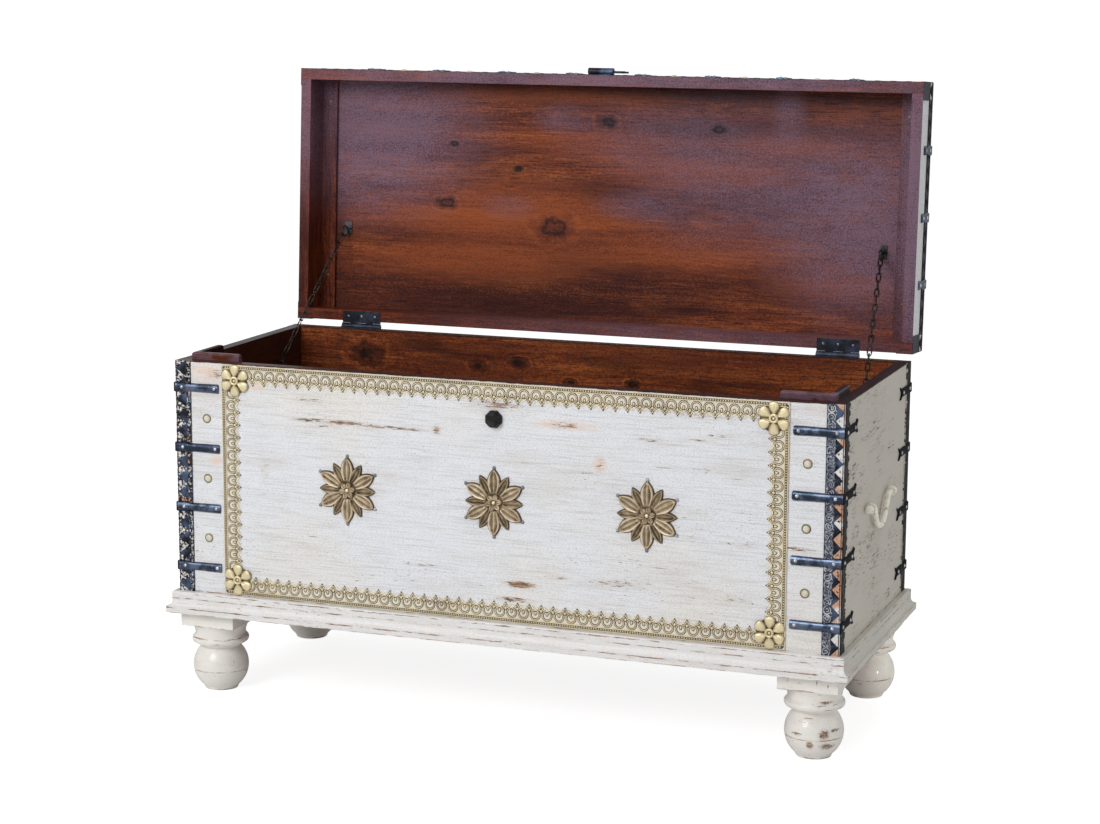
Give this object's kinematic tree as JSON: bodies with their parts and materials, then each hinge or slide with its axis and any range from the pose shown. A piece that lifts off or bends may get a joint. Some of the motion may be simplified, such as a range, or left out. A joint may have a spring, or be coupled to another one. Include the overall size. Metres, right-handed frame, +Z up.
{
  "type": "dowry chest",
  "caption": "Wooden dowry chest on turned feet with a hinged lid, drop handles, hasp, stay chains, iron straps and embossed brass ornament, shown open",
  "frame": {"origin": "on the floor, under the middle of the whole object's bounding box with the lid open", "axes": "+X along the front to the right, +Y from the front to the back, +Z up"},
  "size_m": [1.188, 0.6252, 1.0524],
  "materials": {
    "painted_wood": "distressed white paint over wood",
    "dark_wood": "dark red-brown stain",
    "foot_wood": "worn white paint over turned wood",
    "black_iron": "blackened iron",
    "old_iron": "dull grey iron",
    "cream_paint": "cream paint over iron",
    "brass": "old embossed brass"
  },
  "bodies": {
    "chest": {"front_board": "painted_wood", "back_board": "painted_wood", "left_side_board": "painted_wood", "right_side_board": "painted_wood", "bottom_board": "dark_wood", "plinth_front": "painted_wood", "plinth_right": "painted_wood", "plinth_back": "painted_wood", "plinth_left": "painted_wood", "foot_front_left": "foot_wood", "foot_front_right": "foot_wood", "foot_back_left": "foot_wood", "foot_back_right": "foot_wood", "locating_cleat_left": "dark_wood", "locating_cleat_right": "dark_wood", "corner_strip_front_left": "black_iron", "corner_straps_front_left": "black_iron", "corner_strip_front_right": "black_iron", "corner_straps_front_right": "black_iron", "corner_strip_back_left": "black_iron", "corner_straps_back_left": "black_iron", "corner_strip_back_right": "black_iron", "corner_straps_back_right": "black_iron", "strap_nails": "old_iron", "front_studs": "cream_paint", "border_top": "brass", "border_bottom": "brass", "border_left": "brass", "border_right": "brass", "border_rosettes": "brass", "flower_left": "brass", "flower_centre": "brass", "flower_right": "brass", "flower_nails": "old_iron", "hasp_boss": "black_iron", "hinge_box_leaves": "old_iron", "hinge_pins": "old_iron", "handle_eyes": "black_iron", "chain_box_eyes": "old_iron"},
    "lid": {"lid_panel": "dark_wood", "lid_front_rail": "dark_wood", "lid_back_rail": "dark_wood", "lid_left_rail": "dark_wood", "lid_right_rail": "dark_wood", "lid_battens": "dark_wood", "lid_edge_strips": "black_iron", "lid_straps": "black_iron", "lid_strap_nails": "old_iron", "lid_studs": "cream_paint", "hinge_lid_leaves": "old_iron", "hasp_plate": "black_iron", "hasp_pin": "black_iron", "lid_chain_plates": "old_iron"},
    "hasp": {"hasp_arm": "black_iron"},
    "handle_left": {"handle_left": "cream_paint"},
    "handle_right": {"handle_right": "cream_paint"},
    "chain_left_lower": {"chain_left_lower": "old_iron"},
    "chain_left_upper": {"chain_left_upper": "old_iron"},
    "chain_right_lower": {"chain_right_lower": "old_iron"},
    "chain_right_upper": {"chain_right_upper": "old_iron"}
  },
  "joints": [
    {"name": "lid_hinge", "type": "hinge", "parent": "chest", "child": "lid", "pos_m": [0, 0.17187, 0.57575], "axis": [1, 0, 0], "range_deg": [0, 93.5]},
    {"name": "hasp_hinge", "type": "hinge", "parent": "lid", "child": "hasp", "pos_m": [0, 0.21342, 1.04619], "axis": [1, 0, 0], "range_deg": [0, 180]},
    {"name": "handle_left_hinge", "type": "hinge", "parent": "chest", "child": "handle_left", "pos_m": [-0.5835, -0.06563, 0.382], "axis": [0, 1, 0], "range_deg": [0, 100]},
    {"name": "handle_right_hinge", "type": "hinge", "parent": "chest", "child": "handle_right", "pos_m": [0.5835, -0.06563, 0.382], "axis": [0, -1, 0], "range_deg": [0, 100]},
    {"name": "chain_left_lower_hinge", "type": "hinge", "parent": "chest", "child": "chain_left_lower", "pos_m": [-0.548, 0.04637, 0.525], "axis": [1, 0, 0], "range_deg": [0, 145.4]},
    {"name": "chain_left_upper_hinge", "type": "hinge", "parent": "lid", "child": "chain_left_upper", "pos_m": [-0.504, 0.23324, 0.74782], "axis": [1, 0, 0], "range_deg": [-94, 0]},
    {"name": "chain_right_lower_hinge", "type": "hinge", "parent": "chest", "child": "chain_right_lower", "pos_m": [0.548, -0.06563, 0.525], "axis": [1, 0, 0], "range_deg": [0, 159.4]},
    {"name": "chain_right_upper_hinge", "type": "hinge", "parent": "lid", "child": "chain_right_upper", "pos_m": [0.504, 0.23324, 0.74782], "axis": [1, 0, 0], "range_deg": [-103.4, 0]}
  ],
  "couplings": [
    {"joint": "chain_left_lower_hinge", "follows": "lid_hinge", "ratio": 1.55},
    {"joint": "chain_left_upper_hinge", "follows": "lid_hinge", "ratio": -1},
    {"joint": "chain_right_lower_hinge", "follows": "lid_hinge", "ratio": 1.7},
    {"joint": "chain_right_upper_hinge", "follows": "lid_hinge", "ratio": -1.1}
  ]
}
